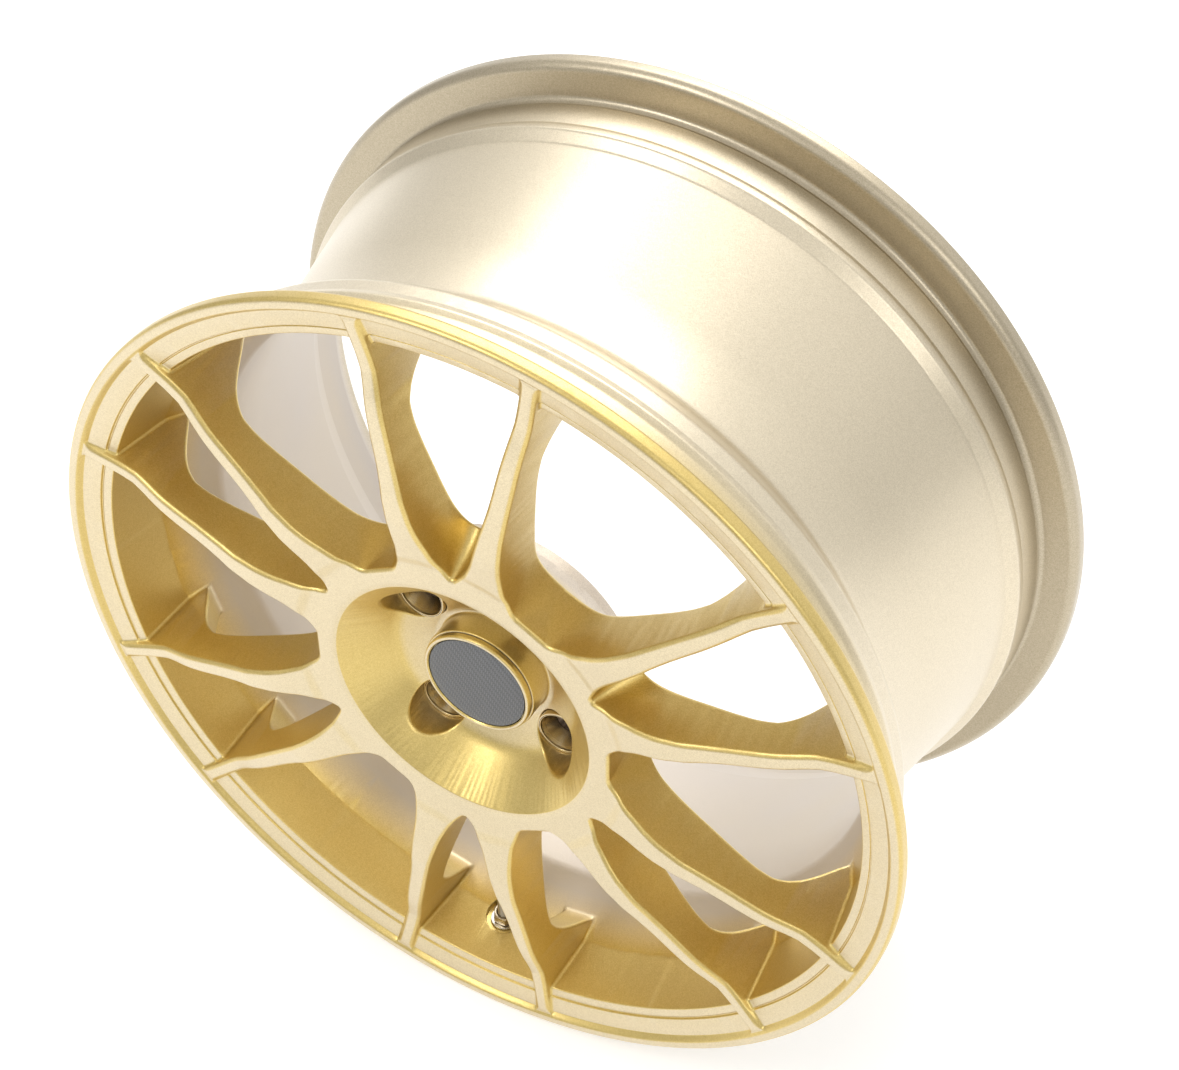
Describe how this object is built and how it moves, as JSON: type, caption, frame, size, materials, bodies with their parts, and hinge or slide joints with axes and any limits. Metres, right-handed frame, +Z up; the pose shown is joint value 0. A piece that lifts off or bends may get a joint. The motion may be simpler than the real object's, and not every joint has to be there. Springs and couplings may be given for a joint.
{
  "type": "racing wheel rim",
  "caption": "Forged one-piece racing wheel with slim paired spokes, a stepped barrel, a dished hub with conical bolt seats, a snap-in centre cap and a bolted tyre valve.",
  "frame": {"origin": "on the spin axis, at the centre of the bounding box: midway between the front of the spokes and the rear flange's edge", "axes": "+Y along the spin axis towards the car, so the street side faces -Y; +Z up, away from the tyre valve, which is at the bottom; +X to the right seen from the street side"},
  "size_m": [0.471, 0.2302, 0.471],
  "materials": {
    "gold_paint": "satin metallic gold paint over forged aluminium",
    "seat_steel": "smooth machined steel with a bronze tint",
    "ring_aluminium": "bare turned aluminium",
    "spring_wire": "bright drawn spring wire",
    "cap_plastic": "plastic with the wheel's satin gold paint",
    "emblem": "dark grey woven pattern under clear lacquer, no lettering",
    "adhesive": "white adhesive foam",
    "valve_nickel": "nickel-plated brass",
    "black_rubber": "matt black rubber",
    "bright_steel": "plain bright steel",
    "core_brass": "bare turned brass",
    "white_ptfe": "white ptfe",
    "black_plastic": "moulded black plastic"
  },
  "bodies": {
    "wheel": {"wheel_forging": "gold_paint", "lug_seat_insert_1": "seat_steel", "lug_seat_insert_2": "seat_steel", "lug_seat_insert_3": "seat_steel", "lug_seat_insert_4": "seat_steel", "hub_centring_ring": "ring_aluminium", "hub_ring_clip": "spring_wire", "valve_stem": "valve_nickel", "valve_grommet": "black_rubber", "valve_washer": "bright_steel", "valve_nut": "valve_nickel", "valve_core_body": "core_brass", "valve_core_gasket": "white_ptfe", "valve_core_spring": "spring_wire"},
    "centre_cap": {"cap_shell": "cap_plastic", "cap_emblem_disc": "emblem", "cap_adhesive_pad": "adhesive", "cap_spring_ring": "spring_wire"},
    "valve_pin": {"valve_core_pin": "bright_steel", "valve_core_seal": "black_rubber"},
    "valve_cap_lifter": {"valve_cap_seal": "black_rubber"},
    "valve_cap_shell": {"valve_cap": "black_plastic"}
  },
  "joints": [
    {"name": "centre_cap_pull", "type": "slide", "parent": "wheel", "child": "centre_cap", "axis": [0, -1, 0], "range_m": [0, 0.02]},
    {"name": "valve_pin_press", "type": "slide", "parent": "wheel", "child": "valve_pin", "axis": [0, 0, -1], "range_m": [0, 0.0012], "deforming": ["valve_core_spring"]},
    {"name": "valve_cap_lift", "type": "slide", "parent": "wheel", "child": "valve_cap_lifter", "axis": [0, 0, 1], "range_m": [0, 0.00556]},
    {"name": "valve_cap_turn", "type": "hinge", "parent": "valve_cap_lifter", "child": "valve_cap_shell", "pos_m": [0, -0.07355, -0.167], "axis": [0, 0, 1], "range_deg": [0, 2525]}
  ],
  "couplings": [
    {"joint": "valve_cap_turn", "follows": "valve_cap_lift", "rad_per_m": 7913.4}
  ]
}
